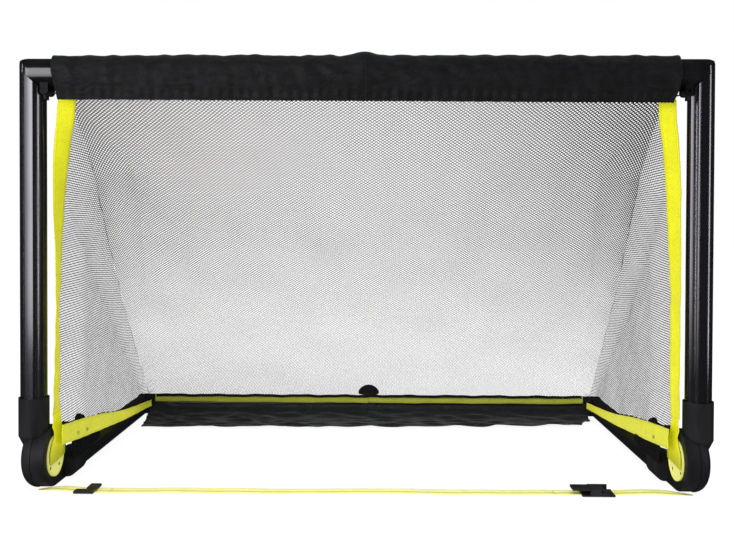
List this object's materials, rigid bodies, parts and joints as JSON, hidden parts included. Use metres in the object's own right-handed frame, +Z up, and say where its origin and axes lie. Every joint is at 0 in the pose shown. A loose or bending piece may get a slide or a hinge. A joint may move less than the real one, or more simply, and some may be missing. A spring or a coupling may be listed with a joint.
{
  "type": "folding netted goal",
  "caption": "Folding goal with a netted back, black tube frame, moulded hubs, yellow webbing and a floor strap with a cam buckle.",
  "frame": {"origin": "on the floor under the middle of the outer box", "axes": "+Z up, the mouth faces -Y, +X to the right seen from the front"},
  "size_m": [1.2096, 0.689, 0.761],
  "materials": {
    "tube": "satin black anodised, fluted",
    "moulding": "matte black",
    "gloss_moulding": "gloss black",
    "pin": "zinc plated",
    "disc": "pale yellow",
    "screw": "black",
    "sleeve_cloth": "black woven nylon",
    "net": "black knitted mesh",
    "band": "fluorescent yellow webbing",
    "rear_webbing": "yellow webbing seen through the net",
    "rivet": "dull yellow",
    "flap_cloth": "black woven nylon",
    "strap": "fluorescent yellow webbing",
    "buckle": "black"
  },
  "bodies": {
    "left_upright": {"upright_tube_left": "tube", "upright_plug_left": "moulding", "corner_pin_left": "pin", "upright_socket_left": "moulding", "hub_axle_left": "pin", "edge_band_left": "band", "side_net_left": "net", "floor_strap_left": "strap", "floor_strap_middle": "strap"},
    "crossbar_left": {"crossbar_end_left": "gloss_moulding", "crossbar_tube_left": "tube", "crossbar_hinge_left": "moulding", "crossbar_hinge_pin": "pin", "crossbar_sleeve_left": "sleeve_cloth", "back_net_left": "net"},
    "crossbar_right": {"crossbar_end_right": "gloss_moulding", "crossbar_tube_right": "tube", "crossbar_hinge_right": "moulding", "crossbar_sleeve_right": "sleeve_cloth", "back_net_right": "net"},
    "right_upright": {"upright_tube_right": "tube", "upright_plug_right": "moulding", "corner_pin_right": "pin", "upright_socket_right": "moulding", "hub_axle_right": "pin", "edge_band_right": "band", "side_net_right": "net"},
    "strap_end": {"floor_strap_right": "strap", "buckle_base": "buckle", "buckle_pin": "pin"},
    "left_side_bar": {"side_bar_left": "tube", "side_bar_plug_left": "moulding", "rear_corner_pin_left": "pin", "base_knuckle_left": "moulding", "hub_disc_left": "disc", "hub_screws_left": "screw", "base_band_left": "band", "band_rivets_left": "rivet"},
    "right_side_bar": {"side_bar_right": "tube", "side_bar_plug_right": "moulding", "rear_corner_pin_right": "pin", "base_knuckle_right": "moulding", "hub_disc_right": "disc", "hub_screws_right": "screw", "base_band_right": "band", "band_rivets_right": "rivet"},
    "rear_left": {"rear_bar_end_left": "gloss_moulding", "rear_bar_left": "tube", "rear_hinge_left": "moulding", "rear_hinge_pin": "pin", "rear_hinge_cap": "gloss_moulding", "rear_band_left": "rear_webbing", "rear_flap_left": "flap_cloth"},
    "rear_right": {"rear_bar_end_right": "gloss_moulding", "rear_bar_right": "tube", "rear_hinge_right": "moulding", "rear_band_right": "rear_webbing", "rear_flap_right": "flap_cloth"},
    "strap_slider": {"strap_slider": "buckle"},
    "buckle_lever": {"buckle_lever": "buckle"}
  },
  "joints": [
    {"name": "fold", "type": "hinge", "parent": "left_upright", "child": "crossbar_left", "pos_m": [-0.554, -0.3055, 0.695], "axis": [0, 1, 0], "range_deg": [0, 87.25], "deforming": ["crossbar_sleeve_left", "back_net_left", "edge_band_left", "floor_strap_middle"]},
    {"name": "crossbar_centre", "type": "hinge", "parent": "crossbar_left", "child": "crossbar_right", "pos_m": [0, -0.3055, 0.754], "axis": [0, 1, 0], "range_deg": [-175, 0], "deforming": ["crossbar_sleeve_right", "back_net_right"]},
    {"name": "right_corner", "type": "hinge", "parent": "crossbar_right", "child": "right_upright", "pos_m": [0.554, -0.3055, 0.695], "axis": [0, 1, 0], "range_deg": [0, 87.5], "deforming": ["edge_band_right"]},
    {"name": "base_left", "type": "hinge", "parent": "left_upright", "child": "left_side_bar", "pos_m": [-0.564, -0.2895, 0.055], "axis": [1, 0, 0], "range_deg": [0, 90.2], "deforming": ["side_net_left", "base_band_left"]},
    {"name": "base_right", "type": "hinge", "parent": "right_upright", "child": "right_side_bar", "pos_m": [0.564, -0.2895, 0.055], "axis": [1, 0, 0], "range_deg": [0, 90.2], "deforming": ["side_net_right", "base_band_right"]},
    {"name": "rear_corner_left", "type": "hinge", "parent": "left_side_bar", "child": "rear_left", "pos_m": [-0.528, 0.2645, 0.024], "axis": [0, 0, 1], "range_deg": [-90.2, 0], "deforming": ["rear_flap_left"]},
    {"name": "rear_corner_right", "type": "hinge", "parent": "right_side_bar", "child": "rear_right", "pos_m": [0.528, 0.2645, 0.024], "axis": [0, 0, 1], "range_deg": [0, 90.2], "deforming": ["rear_flap_right"]},
    {"name": "strap_swing", "type": "hinge", "parent": "right_upright", "child": "strap_end", "pos_m": [0.566, -0.3205, 0.0012], "axis": [0, 0, 1], "range_deg": [0, 100.2]},
    {"name": "buckle_lever", "type": "hinge", "parent": "strap_end", "child": "buckle_lever", "pos_m": [0.408, -0.3195, 0.0108], "axis": [0, 1, 0], "range_deg": [0, 110]},
    {"name": "strap_slider", "type": "slide", "parent": "left_upright", "child": "strap_slider", "axis": [1, 0, 0], "range_m": [-0.012, 0.02]}
  ],
  "couplings": [
    {"joint": "crossbar_centre", "follows": "fold", "ratio": -2},
    {"joint": "right_corner", "follows": "fold", "ratio": 1},
    {"joint": "base_left", "follows": "fold", "ratio": 1.0315},
    {"joint": "base_right", "follows": "fold", "ratio": 1.0315},
    {"joint": "rear_corner_left", "follows": "fold", "ratio": -1.0315},
    {"joint": "rear_corner_right", "follows": "fold", "ratio": 1.0315},
    {"joint": "strap_swing", "follows": "fold", "ratio": 1.146}
  ]
}
